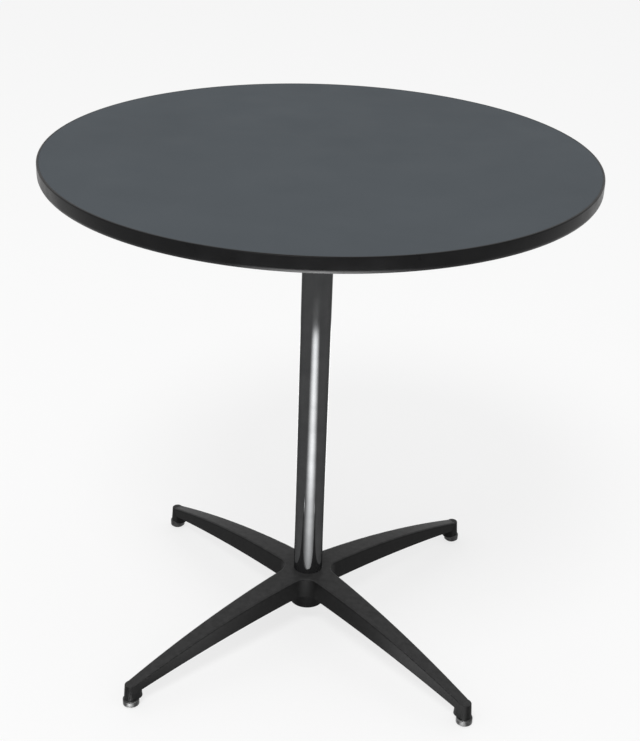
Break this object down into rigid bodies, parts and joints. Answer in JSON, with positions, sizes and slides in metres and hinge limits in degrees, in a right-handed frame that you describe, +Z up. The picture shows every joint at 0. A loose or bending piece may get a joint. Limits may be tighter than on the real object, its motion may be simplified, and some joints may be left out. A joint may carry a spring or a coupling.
{
  "type": "round cocktail table",
  "caption": "Round pedestal cocktail table with a dark grey laminate top, black edge strip, chrome column and black cast cross base on screw-out levelling glides.",
  "frame": {"origin": "On the floor, under the middle of the column.", "axes": "+Z is up along the column. The four base arms lie on the diagonals of X and Y. -Y is the front, the side that the picture looks from, and +X is the right."},
  "size_m": [0.762, 0.762, 0.762],
  "materials": {
    "laminate": "dark grey laminate, fine matte grain",
    "edge_vinyl": "black extruded vinyl, satin",
    "board": "raw particle board",
    "backing": "brown-black backing sheet",
    "spider_coat": "black coat over a rough casting",
    "base_coat": "black powder coat, fine texture",
    "chrome": "bright chrome plate",
    "glide_chrome": "chrome plate on pressed steel",
    "plated_steel": "zinc plate",
    "nylon": "black moulded nylon"
  },
  "bodies": {
    "table_frame": {"base_casting": "base_coat", "column_tube": "chrome", "tie_rod": "plated_steel", "rod_washer": "plated_steel", "rod_split_washer": "plated_steel", "rod_nut": "plated_steel", "top_spider": "spider_coat", "spider_screws": "plated_steel", "backing_sheet": "backing", "top_core": "board", "top_laminate": "laminate", "edge_moulding": "edge_vinyl"},
    "rear_right_foot": {"rear_right_glide_pad": "nylon"},
    "rear_right_glide": {"rear_right_glide_shell": "glide_chrome", "rear_right_glide_stem": "plated_steel"},
    "rear_left_foot": {"rear_left_glide_pad": "nylon"},
    "rear_left_glide": {"rear_left_glide_shell": "glide_chrome", "rear_left_glide_stem": "plated_steel"},
    "front_left_foot": {"front_left_glide_pad": "nylon"},
    "front_left_glide": {"front_left_glide_shell": "glide_chrome", "front_left_glide_stem": "plated_steel"},
    "front_right_foot": {"front_right_glide_pad": "nylon"},
    "front_right_glide": {"front_right_glide_shell": "glide_chrome", "front_right_glide_stem": "plated_steel"}
  },
  "joints": [
    {"name": "rear_right_glide_lift", "type": "slide", "parent": "table_frame", "child": "rear_right_foot", "axis": [0, 0, -1], "range_m": [0, 0.008]},
    {"name": "rear_right_glide_turn", "type": "hinge", "parent": "rear_right_foot", "child": "rear_right_glide", "pos_m": [0.24112, 0.24112, 0], "axis": [0, 0, -1], "range_deg": [0, 2267]},
    {"name": "rear_left_glide_lift", "type": "slide", "parent": "table_frame", "child": "rear_left_foot", "axis": [0, 0, -1], "range_m": [0, 0.008]},
    {"name": "rear_left_glide_turn", "type": "hinge", "parent": "rear_left_foot", "child": "rear_left_glide", "pos_m": [-0.24112, 0.24112, 0], "axis": [0, 0, -1], "range_deg": [0, 2267]},
    {"name": "front_left_glide_lift", "type": "slide", "parent": "table_frame", "child": "front_left_foot", "axis": [0, 0, -1], "range_m": [0, 0.008]},
    {"name": "front_left_glide_turn", "type": "hinge", "parent": "front_left_foot", "child": "front_left_glide", "pos_m": [-0.24112, -0.24112, 0], "axis": [0, 0, -1], "range_deg": [0, 2267]},
    {"name": "front_right_glide_lift", "type": "slide", "parent": "table_frame", "child": "front_right_foot", "axis": [0, 0, -1], "range_m": [0, 0.008]},
    {"name": "front_right_glide_turn", "type": "hinge", "parent": "front_right_foot", "child": "front_right_glide", "pos_m": [0.24112, -0.24112, 0], "axis": [0, 0, -1], "range_deg": [0, 2267]}
  ],
  "couplings": [
    {"joint": "rear_right_glide_lift", "follows": "rear_right_glide_turn", "m_per_rad": 0.00020213},
    {"joint": "rear_left_glide_lift", "follows": "rear_left_glide_turn", "m_per_rad": 0.00020213},
    {"joint": "front_left_glide_lift", "follows": "front_left_glide_turn", "m_per_rad": 0.00020213},
    {"joint": "front_right_glide_lift", "follows": "front_right_glide_turn", "m_per_rad": 0.00020213}
  ]
}
